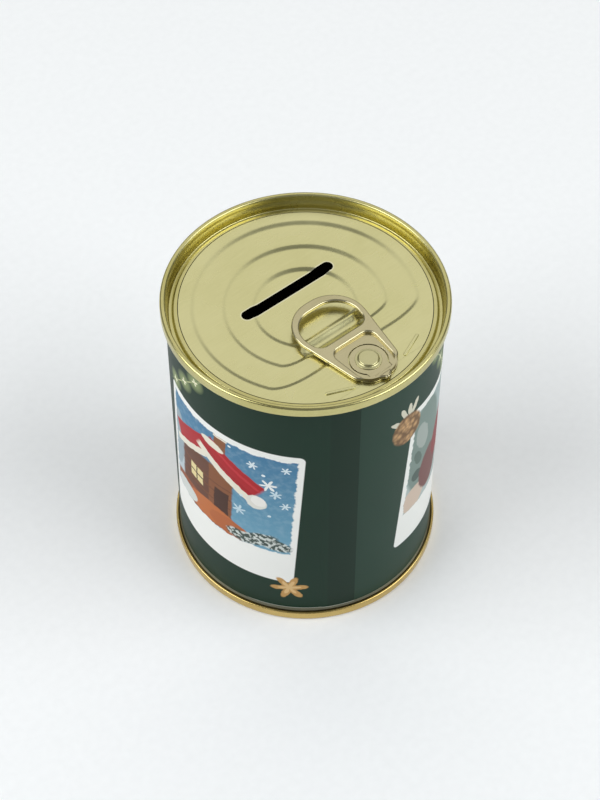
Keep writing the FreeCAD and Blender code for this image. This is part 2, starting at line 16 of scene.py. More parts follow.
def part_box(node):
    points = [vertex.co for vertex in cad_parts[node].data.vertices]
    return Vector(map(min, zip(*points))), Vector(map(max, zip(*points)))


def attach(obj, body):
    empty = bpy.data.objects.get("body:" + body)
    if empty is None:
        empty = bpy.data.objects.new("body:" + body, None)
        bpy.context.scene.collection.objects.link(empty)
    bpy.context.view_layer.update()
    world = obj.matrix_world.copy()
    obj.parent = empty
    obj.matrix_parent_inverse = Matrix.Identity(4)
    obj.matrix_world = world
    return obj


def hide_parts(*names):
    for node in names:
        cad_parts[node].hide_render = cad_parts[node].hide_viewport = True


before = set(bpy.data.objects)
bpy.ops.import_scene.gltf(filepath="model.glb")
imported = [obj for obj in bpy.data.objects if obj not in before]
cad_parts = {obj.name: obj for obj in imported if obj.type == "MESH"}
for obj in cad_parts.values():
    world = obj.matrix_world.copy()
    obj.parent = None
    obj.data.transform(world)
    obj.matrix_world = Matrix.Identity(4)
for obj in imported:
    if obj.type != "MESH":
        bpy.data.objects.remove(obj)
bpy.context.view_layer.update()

# %% [markdown]
# ## Sizes
# Lengths are in millimetres, because that is how a can maker thinks of them, and each mesh is
# shrunk to metres when it is finished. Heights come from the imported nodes, so a change of the
# can's height reaches this script by itself.

# %% Sizes
MM = 0.001


def low_and_high(node):
    low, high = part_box(node)
    return Vector(low) / MM, Vector(high) / MM


CAN_HEIGHT = low_and_high("top_end_ring")[1].z
SEAM_RADIUS = low_and_high("top_end_ring")[1].x
SEAM_HEIGHT = 3.0
NECK_START = 0.05
END_PLATE = 0.24
BODY_PLATE = 0.20
FILM = 0.09
LINING_SPACE = 0.25
FOLD = 0.28
HOOK_GAP = 0.35
NECK_IN, NECK_LENGTH = 0.45, 0.75
PANEL_TOP = low_and_high("pry_lip")[1].z
PANEL_DEPTH = CAN_HEIGHT - PANEL_TOP
RIVET_Y = -25.0
RIVET_PLAY = 0.05
TAB_GAP, TAB_SHEET, TAB_RIM = 0.15, 0.35, 1.25
BEND_REACH, BEND_GAP, NOSE_REACH = 5.25, 0.03, 2.95
BEND_Y = RIVET_Y - BEND_REACH
SCORE_RADIUS, SCORE_GAP = 33.4, 0.2
FOLD_Y = low_and_high("tear_panel")[0].y
SLOT_LENGTH, SLOT_WIDTH, SLOT_Y = 30.3, 3.2, 7.4
LABEL_LOW, LABEL_HIGH = low_and_high("label")[0].z, low_and_high("label")[1].z
PAPER_GAP = 0.03
LABEL_RADIUS = SEAM_RADIUS - 2 * END_PLATE - BODY_PLATE - 3 * FILM - NECK_IN + PAPER_GAP
PAPER, LAP_GLUE, LAP_WIDTH = 0.10, 0.04, 9.0
LAP_AZIMUTH = -107.5
print("can %.1f high, %.1f over the seam, panel %.2f down" % (CAN_HEIGHT, 2 * SEAM_RADIUS, PANEL_DEPTH))

# %% [markdown]
# ## Camera
# The can is looked down on from half a metre away, at 51 degrees above the table, with a long
# lens. The lens and the distance together set how much the can narrows towards its foot.

# %% Camera
CAMERA_AZIMUTH, CAMERA_ELEVATION = math.radians(-39.7), math.radians(51.12)
CAMERA_DISTANCE = 553.3
CAMERA_ASIDE, CAMERA_UP = -1.46, 2.90
LENS, SENSOR = 89.5, 36


def make_camera():
    flat = Vector((math.sin(CAMERA_AZIMUTH), -math.cos(CAMERA_AZIMUTH), 0))
    back = flat * math.cos(CAMERA_ELEVATION) + Vector((0, 0, math.sin(CAMERA_ELEVATION)))
    right = Vector((math.cos(CAMERA_AZIMUTH), math.sin(CAMERA_AZIMUTH), 0))
    up = back.cross(right)
    place = Vector((0, 0, CAN_HEIGHT / 2)) + back * CAMERA_DISTANCE
    place += right * CAMERA_ASIDE + up * CAMERA_UP
    data = bpy.data.cameras.new("camera")
    data.lens = LENS
    data.sensor_width = SENSOR
    data.clip_start = 0.01
    camera = bpy.data.objects.new("camera", data)
    turned = Matrix((right, up, back)).transposed().to_4x4()
    camera.matrix_world = Matrix.Translation(place * MM) @ turned
    bpy.context.scene.collection.objects.link(camera)
    return camera


bpy.context.scene.camera = make_camera()
print("camera at", [round(c, 3) for c in bpy.context.scene.camera.matrix_world.translation])

# %% [markdown]
# ## Colours and nodes
# Colours are picked as sRGB hex values, as a paint card gives them, and one function turns them
# linear, because a shader adds up light. A second function adds any node with its settings and
# links, so that each material below reads as a list of what goes into it.


# %% Colours and nodes
def linear(code):
    """An sRGB hex colour as linear RGBA."""
    parts = [int(code[k : k + 2], 16) / 255 for k in (1, 3, 5)]
    out = [c / 12.92 if c <= 0.04045 else ((c + 0.055) / 1.055) ** 2.4 for c in parts]
    return (*out, 1.0)


def add(tree, kind, settings=None, links=None):
    """Adds a node; links maps an input to another node's output or to a constant."""
    node = tree.nodes.new("ShaderNode" + kind)
    for name, setting in (settings or {}).items():
        setattr(node, name, setting)
    for name, source in (links or {}).items():
        if isinstance(source, bpy.types.NodeSocket):
            tree.links.new(source, node.inputs[name])
        else:
            node.inputs[name].default_value = source
    return node.outputs


def new_material(name):
    """An empty material's tree with its output node."""
    material = bpy.data.materials.new(name)
    material.use_nodes = True
    tree = material.node_tree
    tree.nodes.clear()
    return material, tree


def close_material(tree, surface):
    add(tree, "OutputMaterial", links={"Surface": surface})


print("half way up the card's scale, #808080, is %.3f of full light" % linear("#808080")[0])

# %% [markdown]
# ## Table and light
# A pale sweep of board, soft boxes behind and beside the can, and nothing bright on the side of
# the viewer. Polished tin shows whatever is around it, so the dark side of the room is what draws
# the dark lines on the beads that face the viewer.

# %% Table and light
TABLE_SIZE = 6.0


def make_table():
    bm = bmesh.new()
    bmesh.ops.create_grid(bm, x_segments=8, y_segments=8, size=TABLE_SIZE / 2)
    mesh = bpy.data.meshes.new("table")
    bm.to_mesh(mesh)
    bm.free()
    table = bpy.data.objects.new("table", mesh)
    bpy.context.scene.collection.objects.link(table)
    material, tree = new_material("white board")
    place = add(tree, "TexCoord")["Object"]
    grain = add(tree, "TexNoise", links={"Vector": place, "Scale": 400.0, "Detail": 2.0})["Fac"]
    colour = add(
        tree,
        "Mix",
        {"data_type": "RGBA"},
        {0: grain, 6: linear("#F4F5F5"), 7: linear("#FAFBFB")},
    )[2]
    board = add(
        tree, "BsdfPrincipled", links={"Base Color": colour, "Roughness": 0.6, "Specular IOR Level": 0.2}
    )[0]
    close_material(tree, board)
    mesh.materials.append(material)


def soft_box(name, azimuth, elevation, distance, width, height, power, colour):
    """An area light that faces the can; azimuth is counted from the far side of the can."""
    data = bpy.data.lights.new(name, "AREA")
    data.shape = "RECTANGLE"
    data.size, data.size_y = width, height
    data.energy = power
    data.color = linear(colour)[:3]
    light = bpy.data.objects.new(name, data)
    turn = CAMERA_AZIMUTH + math.pi / 2 + math.radians(azimuth)
    rise = math.radians(elevation)
    away = Vector((math.cos(turn) * math.cos(rise), math.sin(turn) * math.cos(rise), math.sin(rise)))
    centre = Vector((0, 0, CAN_HEIGHT / 2 * MM))
    light.location = centre + away * distance
    light.rotation_euler = away.to_track_quat("Z", "Y").to_euler()
    bpy.context.scene.collection.objects.link(light)
    return light


def make_light():
    world = bpy.data.worlds.new("room")
    bpy.context.scene.world = world
    world.use_nodes = True
    tree = world.node_tree
    tree.nodes.clear()
    sky = add(tree, "Background", links={"Color": linear("#F2F6F8"), "Strength": 0.27})[0]
    add(tree, "OutputWorld", links={"Surface": sky})
    soft_box("back_box", 0, 50, 1.6, 1.9, 1.3, 5.4, "#FFFDF8")
    soft_box("left_box", 106, 42, 1.5, 1.2, 1.0, 13.6, "#FBFDFF")
    soft_box("right_box", -106, 42, 1.5, 1.2, 1.0, 12.6, "#FBFDFF")
    bpy.context.scene.view_settings.view_transform = "Standard"


make_table()
make_light()
print("table and", len(bpy.data.lights), "soft boxes")

# %% [markdown]
# ## Lacquered tinplate
# The ends are electrolytic tinplate under a gold epoxy-phenolic lacquer. The lacquer tints every
# reflection, so where one wall mirrors another the gold deepens to olive. The strip is rolled, and
# faint lines run one way through it. Pressing and handling add soft smudges and a fine mottle.


# %% Lacquered tinplate
def rolled_metal(name, tint, deep, roughness, grain_mm, bright=None):
    """Rolled tinplate: a tint that varies a little, rolling lines along X, smudges, a fine mottle in the
    relief.
    """
    material, tree = new_material(name)
    place = add(tree, "TexCoord")["Object"]
    lines = add(
        tree,
        "Mapping",
        links={"Vector": place, "Scale": (0.06 / MM / grain_mm, 1.0 / MM / grain_mm, 1.0 / MM / grain_mm)},
    )[0]
    rolling = add(tree, "TexNoise", links={"Vector": lines, "Scale": 1.0, "Detail": 3.0})["Fac"]
    smudge = add(tree, "TexNoise", links={"Vector": place, "Scale": 70.0, "Detail": 4.0})["Fac"]
    mottle = add(tree, "TexNoise", links={"Vector": place, "Scale": 900.0, "Detail": 2.0})["Fac"]
    shade = add(tree, "Math", {"operation": "MULTIPLY_ADD"}, {0: rolling, 1: 0.35, 2: smudge})[0]
    mix = add(tree, "MapRange", links={"Value": shade, "From Min": 0.45, "From Max": 0.95})[0]
    colour = add(tree, "Mix", {"data_type": "RGBA"}, {0: mix, 6: linear(deep), 7: linear(tint)})[2]
    if bright is not None:
        colour = bright(tree, place, colour)
    gloss = add(
        tree,
        "MapRange",
        links={
            "Value": smudge,
            "From Min": 0.3,
            "From Max": 0.7,
            "To Min": roughness - 0.04,
            "To Max": roughness + 0.06,
        },
    )[0]
    relief = add(tree, "Math", {"operation": "MULTIPLY_ADD"}, {0: mottle, 1: 0.4, 2: rolling})[0]
    bump = add(tree, "Bump", links={"Height": relief, "Strength": 0.25, "Distance": 0.00002})[0]
    metal = add(
        tree,
        "BsdfPrincipled",
        links={"Base Color": colour, "Metallic": 1.0, "Roughness": gloss, "Normal": bump},
    )[0]
    close_material(tree, metal)
    return material


def slot_edge(tree, place, colour):
    """The punched edge of the coin slot has lost its lacquer and shows bare tin."""
    settings = {"Vector": place, "Location": (0, SLOT_Y * MM, 0)}
    about = add(tree, "Mapping", {"vector_type": "TEXTURE"}, settings)[0]
    near = add(tree, "VectorMath", {"operation": "ABSOLUTE"}, {0: about})[0]
    straight = (SLOT_LENGTH - SLOT_WIDTH) / 2 * MM
    shifted = add(tree, "VectorMath", {"operation": "SUBTRACT"}, {0: near, 1: (straight, 0, 10)})[0]
    clipped = add(tree, "VectorMath", {"operation": "MAXIMUM"}, {0: shifted, 1: (0, 0, 0)})[0]
    reach = add(tree, "VectorMath", {"operation": "LENGTH"}, {0: clipped})["Value"]
    half = SLOT_WIDTH / 2 * MM
    edge = add(
        tree,
        "MapRange",
        {"interpolation_type": "SMOOTHSTEP"},
        {
            "Value": reach,
            "From Min": half + 0.15 * MM,
            "From Max": half + 0.45 * MM,
            "To Min": 0.55,
            "To Max": 0.0,
        },
    )[0]
    return add(tree, "Mix", {"data_type": "RGBA"}, {0: edge, 6: colour, 7: linear("#F1EED8")})[2]


gold_lacquer = rolled_metal("gold lacquered tinplate", "#D9D4A0", "#CCC792", 0.26, 0.35, slot_edge)
# The rim and seam are the same lacquered sheet as the panel; this copy of the gold is darker, as painted
# shade for the chuck wall.
shaded_rim_gold = rolled_metal("gold lacquer on the rim, darkened as painted shade", "#CEC78E", "#BCB476", 0.22, 0.5)
base_gold = rolled_metal("deeper gold lacquer", "#D6BE7C", "#C8AC68", 0.25, 0.5)
tab_metal = rolled_metal("tab tinplate", "#C8BF9A", "#B9B08A", 0.24, 0.3)
bare_tin = rolled_metal("bare tinplate", "#8E8C78", "#7A7866", 0.35, 0.4)
print("metals", [m.name for m in bpy.data.materials])

# %% [markdown]
# ## From a mesh in millimetres to a piece
# Each piece is built in a bmesh, in the can's own place, then shrunk to metres and linked. It
# rides on a body of the model, takes the place of the plain CAD node and gets its material.


# %% Making pieces
def new_piece(name, bm, material, body, node, smooth_angle=35):
    """Turns a bmesh into an object, shaded smooth except over sharp edges."""
    bmesh.ops.scale(bm, vec=(MM, MM, MM), verts=bm.verts)
    mesh = bpy.data.meshes.new(name)
    bm.to_mesh(mesh)
    bm.free()
    mesh.materials.append(material)
    piece = bpy.data.objects.new(name, mesh)
    bpy.context.scene.collection.objects.link(piece)
    mesh.polygons.foreach_set("use_smooth", [True] * len(mesh.polygons))
    mesh.set_sharp_from_angle(angle=math.radians(smooth_angle))
    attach(piece, body)
    if node:
        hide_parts(node)
    return piece


def thicken(bm, plate):
    """Gives a sheet its plate thickness, half to each side of the drawn surface."""
    bmesh.ops.recalc_face_normals(bm, faces=bm.faces)
    for vert in bm.verts:
        vert.normal_update()
    shift = {vert: vert.normal * (plate / 2) for vert in bm.verts}
    for vert, step in shift.items():
        vert.co += step
    bmesh.ops.solidify(bm, geom=bm.faces[:], thickness=plate)


print("pieces are drawn in millimetres and shrunk by", MM)

# %% [markdown]
# ## Turned sheet metal
# Every part of a can that is round about its axis is one line of sheet metal, bent and then
# turned. So the line is drawn corner by corner, each corner is rounded with a vertex bevel, the
# line is spun a full turn, and the surface gets the plate's thickness.

# %% Turned sheet metal
TURN_STEPS = 192


def bent_line(bm, corners):
    """A line through (radius, height, bend radius) corners, with its bends rounded."""
    spots = [bm.verts.new((radius, 0, height)) for radius, height, _ in corners]
    for pair in zip(spots, spots[1:]):
        bm.edges.new(pair)
    for k in range(1, len(corners) - 1):
        bend = corners[k][2]
        if not bend:
            continue
        back = Vector(corners[k - 1][:2]) - Vector(corners[k][:2])
        ahead = Vector(corners[k + 1][:2]) - Vector(corners[k][:2])
        opening = back.angle(ahead)
        bmesh.ops.bevel(
            bm,
            geom=[spots[k]],
            offset=bend / math.tan(opening / 2),
            offset_type="OFFSET",
            affect="VERTICES",
            segments=6,
            profile=0.5,
            material=-1,
        )


def turned(corners, steps=TURN_STEPS):
    """A bent line, spun a full turn into a surface."""
    bm = bmesh.new()
    bent_line(bm, corners)
    bmesh.ops.spin(
        bm,
        geom=bm.verts[:] + bm.edges[:],
        cent=(0, 0, 0),
        axis=(0, 0, 1),
        angle=2 * math.pi,
        steps=steps,
        use_merge=True,
    )
    bmesh.ops.remove_doubles(bm, verts=bm.verts, dist=0.001)
    return bm


def turned_sheet(corners, plate):
    """Bent line, full turn, plate thickness."""
    bm = turned(corners)
    thicken(bm, plate)
    return bm


WALL_MIDDLE = SEAM_RADIUS - 2 * END_PLATE - 1.5 * BODY_PLATE - 3 * FILM
HOOK_MIDDLE = SEAM_RADIUS - END_PLATE - FILM - BODY_PLATE / 2
COVER_HOOK = SEAM_RADIUS - 1.5 * END_PLATE - 2 * FILM - BODY_PLATE
CHUCK_MIDDLE = SEAM_RADIUS - 2.5 * END_PLATE - 2 * BODY_PLATE - 4 * FILM
HOOK_TOP = END_PLATE + LINING_SPACE + BODY_PLATE / 2
GROOVE_DEPTH, GROOVE_IN, GROOVE_OUT, GROOVE_BEND = 1.1, 34.65, 35.95, 0.42
CHUCK_BEND, CHUCK_ROUND = 1.9, 2.0


def rim_of_end(level, sign):
    """From the countersink groove up the chuck wall and round the seam to the cover hook."""
    half = END_PLATE / 2
    outer = SEAM_RADIUS - half
    return [
        (GROOVE_IN, level + sign * (PANEL_DEPTH + half), GROOVE_BEND),
        (GROOVE_IN, level + sign * (PANEL_DEPTH + GROOVE_DEPTH + half), GROOVE_BEND),
        (GROOVE_OUT, level + sign * (PANEL_DEPTH + GROOVE_DEPTH + half), GROOVE_BEND),
        (CHUCK_MIDDLE, level + sign * CHUCK_BEND, CHUCK_ROUND),
        (CHUCK_MIDDLE, level + sign * half, FOLD + half),
        (outer, level + sign * half, FOLD + END_PLATE),
        (outer, level + sign * (SEAM_HEIGHT - half), FOLD),
        (COVER_HOOK, level + sign * (SEAM_HEIGHT - half), FOLD),
        (COVER_HOOK, level + sign * (HOOK_TOP + BODY_PLATE / 2 + HOOK_GAP), 0),
    ]


def rim_of_tube(level, sign):
    """The tube's folded rim and the neck below it."""
    neck = level + sign * (SEAM_HEIGHT + NECK_START)
    return [
        (HOOK_MIDDLE, level + sign * (SEAM_HEIGHT - END_PLATE - HOOK_GAP), 0),
        (HOOK_MIDDLE, level + sign * HOOK_TOP, FOLD),
        (WALL_MIDDLE, level + sign * HOOK_TOP, FOLD),
        (WALL_MIDDLE, neck, FOLD),
        (WALL_MIDDLE - NECK_IN, neck + sign * NECK_LENGTH, FOLD),
    ]


print("tube's wall at radius %.2f, chuck wall at %.2f" % (WALL_MIDDLE - NECK_IN, CHUCK_MIDDLE))

# %% [markdown]
# ## Tube, bottom end and the ring of the lid
# The tube is rolled, welded along one line and necked in under each seam. The bottom end is a
# pressed pan with a raised ring that lets it breathe. The ring-pull end leaves only its rim behind
# when it is opened, from the scored line outwards.

# %% Tube, bottom end and the ring of the lid
BASE_FLAT, BASE_IN, BASE_OUT, BASE_STEP, BASE_FLANK = 0.6, 13.5, 24.5, 0.6, 1.3
WELD_WIDTH, WELD_THICK, WELD_SINK, WELD_CLEAR = 0.8, 0.16, 0.03, 0.3


def make_tube():
    bm = turned_sheet(rim_of_tube(0, 1) + rim_of_tube(CAN_HEIGHT, -1)[::-1], BODY_PLATE)
    lap = bmesh.ops.create_cube(bm, size=1)["verts"]
    inner = WALL_MIDDLE - NECK_IN - BODY_PLATE / 2
    length = CAN_HEIGHT - 2 * (SEAM_HEIGHT + NECK_LENGTH + WELD_CLEAR)
    bmesh.ops.scale(bm, vec=(WELD_WIDTH, WELD_THICK, length), verts=lap)
    bmesh.ops.translate(bm, vec=(0, inner - WELD_SINK, CAN_HEIGHT / 2), verts=lap)
    return new_piece("tin_tube", bm, bare_tin, "can", "can_body")


def make_bottom():
    level = PANEL_DEPTH + END_PLATE / 2
    pan = [
        (BASE_FLAT, level, 0),
        (BASE_IN, level, GROOVE_BEND),
        (BASE_IN + BASE_FLANK, level + BASE_STEP, GROOVE_BEND),
        (BASE_OUT - BASE_FLANK, level + BASE_STEP, GROOVE_BEND),
        (BASE_OUT, level, GROOVE_BEND),
    ]
    bm = turned(pan + rim_of_end(0, 1))
    hole = [e for e in bm.edges if e.is_boundary and e.verts[0].co.xy.length < BASE_FLAT + 0.1]
    bmesh.ops.contextual_create(bm, geom=hole)
    thicken(bm, END_PLATE)
    return new_piece("bottom_pan", bm, base_gold, "can", "bottom_end")


def make_top_ring():
    start = (SCORE_RADIUS + SCORE_GAP / 2, PANEL_TOP - END_PLATE / 2, 0)
    bm = turned_sheet([start] + rim_of_end(CAN_HEIGHT, -1), END_PLATE)
    return new_piece("lid_rim", bm, shaded_rim_gold, "can", "top_end_ring")


for make in (make_tube, make_bottom, make_top_ring):
    piece = make()
    print(piece.name, len(piece.data.polygons), "faces")

# %% [markdown]
# ## The scored panel
# One press stroke gives the panel its three stepped beads, each a circle with its side towards
# the rivet cut straight, the finger well under the ring and two short bars beside the nose. The
# panel is made as nested loops that follow the beads, so that every highlight runs along a loop.
# The loops start as circles and are pulled in to their straight side, with a soft corner.

# %% The scored panel
SPOKES = 360
FLANK_LOOPS, MIDDLE_LOOPS, MIDDLE_RADIUS = 8, 21, 0.6
BEAD_STEP, BEAD_FLANK, BEAD_SPREAD = 0.5, 2.1, 0.5
BEADS = ((30.2, 19.6, 7.0), (21.9, 14.0, 4.5), (14.1, 9.6, 3.0))
WELL_HALF, WELL_NEAR, WELL_FAR, WELL_DEPTH, WELL_END = 11.6, -9.2, -14.6, 0.25, 2.7
BAR_RADIUS, BAR_ANGLE, BAR_LENGTH, BAR_WIDTH, BAR_RISE = 30.4, 23.0, 8.0, 0.9, 0.3
BAR_ROOT, BAR_ROUND = 0.1, 0.22
PUNCH_REACH = 6


def ease(t):
    """0 to 1 with no corner at either end."""
    t = min(max(t, 0.0), 1.0)
    return t * t * (3 - 2 * t)


def cut_circle(angle, radius, chord, corner):
    """Distance from the axis to a circle whose -Y side is cut straight, its corners eased."""
    drop = -math.sin(angle)
    if drop <= 0.02:
        return radius
    straight = chord / drop
    blend = max(corner - abs(straight - radius), 0.0)
    return min(radius, straight) - blend * blend / (4 * corner)


def add_loop(bm, reach, level):
    """A closed loop of points, one on each spoke."""
    loop = []
    for k in range(SPOKES):
        angle = 2 * math.pi * k / SPOKES
        distance = reach(angle)
        loop.append(bm.verts.new((distance * math.cos(angle), distance * math.sin(angle), level)))
    return loop


def skin(bm, outer, inner):
    """Faces between two loops."""
    for k in range(SPOKES):
        after = (k + 1) % SPOKES
        bm.faces.new((outer[k], outer[after], inner[after], inner[k]))


def loop_between(outer, inner, share):
    return lambda angle: outer(angle) + (inner(angle) - outer(angle)) * share


def bead_edge(k, inset):
    radius, chord, corner = BEADS[k]
    return lambda angle: cut_circle(angle, radius, chord, corner) - inset


def well_depth_at(x, y):
    """How far the finger well drops below the beads at a point."""
    middle = (WELL_NEAR + WELL_FAR) / 2
    across = 1 - abs(y - middle) / ((WELL_NEAR - WELL_FAR) / 2)
    along = (WELL_HALF - abs(x)) / WELL_END
    return ease(across) * ease(along)


def press_well(bm):
    """Sinks the finger well into the beaded sheet."""
    floor = -(WELL_DEPTH + 3 * BEAD_STEP)
    for vert in bm.verts:
        vert.co.z += (floor - vert.co.z) * well_depth_at(vert.co.x, vert.co.y)


def stadium(length, width):
    """A flat slot shape with round ends, lying along X."""
    bm = bmesh.new()
    bmesh.ops.create_circle(bm, cap_ends=True, segments=48, radius=width / 2)
    half = (length - width) / 2
    for vert in bm.verts:
        if abs(vert.co.x) > 0.001:
            vert.co.x += math.copysign(half, vert.co.x)
    return bm


def stiffening_bar(side):
    """One pressed bar: a slot shape with a rounded top, standing on the sheet."""
    bm = stadium(BAR_LENGTH, BAR_WIDTH)
    top = bmesh.ops.extrude_face_region(bm, geom=bm.faces[:], use_keep_orig=True)["geom"]
    top = [part for part in top if isinstance(part, bmesh.types.BMVert)]
    bmesh.ops.translate(bm, vec=(0, 0, BAR_RISE + BAR_ROOT), verts=top)
    rim = [e for e in bm.edges if all(v.co.z > BAR_RISE for v in e.verts) and len(e.link_faces) == 2]
    bmesh.ops.bevel(
        bm,
        geom=rim,
        offset=BAR_ROUND,
        offset_type="OFFSET",
        affect="EDGES",
        segments=4,
        profile=0.5,
        material=-1,
    )
    bmesh.ops.recalc_face_normals(bm, faces=bm.faces)
    turn = Matrix.Rotation(math.radians(side * BAR_ANGLE), 3, "Z")
    bmesh.ops.rotate(bm, cent=(0, 0, 0), matrix=turn, verts=bm.verts)
    middle = turn @ Vector((0, -BAR_RADIUS, PANEL_TOP - BAR_ROOT))
    bmesh.ops.translate(bm, vec=middle, verts=bm.verts)
    return bm


def panel_surface():
    """The whole scored disc at panel level zero, as one open surface."""
    bm = bmesh.new()
    score = lambda angle: SCORE_RADIUS - SCORE_GAP / 2
    loops = []
    outer, level = score, 0.0
    for k in range(len(BEADS)):
        edge = bead_edge(k, -BEAD_SPREAD)
        flats = 10 if k == 0 else 12
        for step in range(0 if k == 0 else 1, flats):
            loops.append(add_loop(bm, loop_between(outer, edge, step / flats), level))
        for step in range(FLANK_LOOPS + 1):
            share = step / FLANK_LOOPS
            drop = level - BEAD_STEP * ease(share)
            loops.append(add_loop(bm, bead_edge(k, BEAD_FLANK * share - BEAD_SPREAD), drop))
        outer, level = bead_edge(k, BEAD_FLANK - BEAD_SPREAD), level - BEAD_STEP
    centre = lambda angle: MIDDLE_RADIUS
    for step in range(1, MIDDLE_LOOPS + 1):
        loops.append(add_loop(bm, loop_between(outer, centre, step / MIDDLE_LOOPS), level))
    for outer_loop, inner_loop in zip(loops, loops[1:]):
        skin(bm, outer_loop, inner_loop)
    bm.faces.new(loops[-1])
    bmesh.ops.recalc_face_normals(bm, faces=bm.faces)
    return bm


def cut_at_fold(bm, keep_lip):
    """Keeps the panel's side or the lip's side of the line that the lip folds along."""
    gap = BEND_GAP if keep_lip else 0.0
    bmesh.ops.bisect_plane(
        bm,
        geom=bm.verts[:] + bm.edges[:] + bm.faces[:],
        dist=0.0001,
        plane_co=(0, FOLD_Y - gap, 0),
        plane_no=(0, 1, 0),
        clear_inner=not keep_lip,
        clear_outer=keep_lip,
    )


def join_into(bm, other):
    """Adds another bmesh's parts to this one."""
    holder = bpy.data.meshes.new("joined")
    other.to_mesh(holder)
    other.free()
    bm.from_mesh(holder)
    bpy.data.meshes.remove(holder)


def linked(name, bm):
    """A bmesh as a linked object; the bmesh is used up."""
    mesh = bpy.data.meshes.new(name)
    bm.to_mesh(mesh)
    bm.free()
    holder = bpy.data.objects.new(name, mesh)
    bpy.context.scene.collection.objects.link(holder)
    return holder


def baked(holder):
    """An object with its modifiers carried out, back as a bmesh; the object goes."""
    bpy.context.view_layer.update()
    shaped = bpy.data.meshes.new_from_object(holder.evaluated_get(bpy.context.evaluated_depsgraph_get()))
    bm = bmesh.new()
    bm.from_mesh(shaped)
    old = holder.data
    bpy.data.objects.remove(holder)
    bpy.data.meshes.remove(shaped)
    if isinstance(old, bpy.types.Mesh):
        bpy.data.meshes.remove(old)
    else:
        bpy.data.curves.remove(old)
    return bm


def pressed_sheet(bm, punch=None):
    """Gives the drawn upper face its plate below, cuts the punch's shape out, sets the height."""
    bmesh.ops.recalc_face_normals(bm, faces=bm.faces)
    if sum(face.normal.z for face in bm.faces) < 0:
        bmesh.ops.reverse_faces(bm, faces=bm.faces)
    bmesh.ops.translate(bm, vec=(0, 0, PANEL_TOP), verts=bm.verts)
    sheet = linked("sheet", bm)
    plate = sheet.modifiers.new("plate", "SOLIDIFY")
    plate.thickness = END_PLATE
    plate.offset = -1
    if punch is None:
        return baked(sheet)
    cutter = linked("punch", punch)
    cut = sheet.modifiers.new("punch", "BOOLEAN")
    cut.operation = "DIFFERENCE"
    cut.solver = "EXACT"
    cut.object = cutter
    out = baked(sheet)
    bpy.data.objects.remove(cutter)
    return out


RIVET_HEAD, RIVET_SHANK, RIVET_CROWN = 3.5, 2.3, 0.75


def make_rivet():
    """The rivet is drawn up from the panel and flattened over the tongue: a spun outline."""
    base = PANEL_TOP + TAB_GAP + TAB_SHEET + RIVET_PLAY
    top = base + RIVET_CROWN
    outline = [
        (0.0, PANEL_TOP - 0.02, 0),
        (RIVET_SHANK, PANEL_TOP - 0.02, 0),
        (RIVET_SHANK, base, 0.1),
        (RIVET_HEAD, base, 0.06),
        (RIVET_HEAD, base + 0.14, 0.1),
        (RIVET_HEAD - 0.75, base + 0.22, 0.4),
        (RIVET_HEAD - 0.95, top, 0.3),
        (1.6, top - 0.04, 0.5),
        (0.0, top - 0.07, 0),
    ]
    bm = turned(outline, TURN_STEPS // 2)
    bmesh.ops.recalc_face_normals(bm, faces=bm.faces)
    bmesh.ops.translate(bm, vec=(0, RIVET_Y, 0), verts=bm.verts)
    return new_piece("rivet_head", bm, rivet_metal, "panel", None)


def slot_punch():
    """The punch that cuts the coin slot."""
    bm = stadium(SLOT_LENGTH, SLOT_WIDTH)
    bmesh.ops.translate(bm, vec=(0, SLOT_Y, PANEL_TOP - PUNCH_REACH), verts=bm.verts)
    raised = bmesh.ops.extrude_face_region(bm, geom=bm.faces[:], use_keep_orig=True)["geom"]
    raised = [part for part in raised if isinstance(part, bmesh.types.BMVert)]
    bmesh.ops.translate(bm, vec=(0, 0, 2 * PUNCH_REACH), verts=raised)
    bmesh.ops.recalc_face_normals(bm, faces=bm.faces)
    return bm


def make_panel():
    bm = panel_surface()
    press_well(bm)
    cut_at_fold(bm, keep_lip=False)
    bm = pressed_sheet(bm, slot_punch())
    for side in (-1, 1):
        join_into(bm, stiffening_bar(side))
    return new_piece("scored_panel", bm, gold_lacquer, "panel", "tear_panel")


def make_lip():
    bm = panel_surface()
    press_well(bm)
    cut_at_fold(bm, keep_lip=True)
    bm = pressed_sheet(bm)
    return new_piece("opening_lip", bm, gold_lacquer, "lip", "pry_lip")


rivet_metal = rolled_metal("burnished rivet", "#CCC79A", "#BDB888", 0.28, 0.3)
for make in (make_panel, make_rivet, make_lip):
    piece = make()
    print(piece.name, len(piece.data.polygons), "faces")

# %% [markdown]
# ## Ring-pull tab
# The tab is a stamping whose edges are all curled under, so it has a thick round rim, a finger
# ring, a cross web and a sunk window round the rivet. A flat filled curve does this well: its
# outline, the finger hole and the window are closed curves, and the curve's own bevel rolls every
# edge at once. The thin web of the window and the tongue are flat curves of their own.

# %% Ring-pull tab
ROLL, SHEET_ROLL, WEB_REACH = 0.5, 0.06, 1.11
RING_END = low_and_high("pull_tab")[1].y
NOSE_TIP = BEND_Y - NOSE_REACH
TAB_BOTTOM = PANEL_TOP + TAB_GAP


def rounded(corners):
    """The points of a closed outline whose (x, y, radius) corners are round."""
    points = []
    count = len(corners)
    for k, (x, y, radius) in enumerate(corners):
        here = Vector((x, y))
        if not radius:
            points.append(here)
            continue
        back = (Vector(corners[k - 1][:2]) - here).normalized()
        ahead = (Vector(corners[(k + 1) % count][:2]) - here).normalized()
        half = back.angle(ahead) / 2
        centre = here + (back + ahead).normalized() * (radius / math.sin(half))
        first = here + back * (radius / math.tan(half)) - centre
        sweep = math.pi - 2 * half
        if back.x * ahead.y - back.y * ahead.x > 0:
            sweep = -sweep
        steps = 14
        for step in range(steps + 1):
            points.append(centre + Matrix.Rotation(sweep * step / steps, 2) @ first)
    return points


def mirrored(half):
    """A half outline from -Y to +Y with its mirror image."""
    return half + [(-x, y, r) for x, y, r in half[::-1] if x != 0]


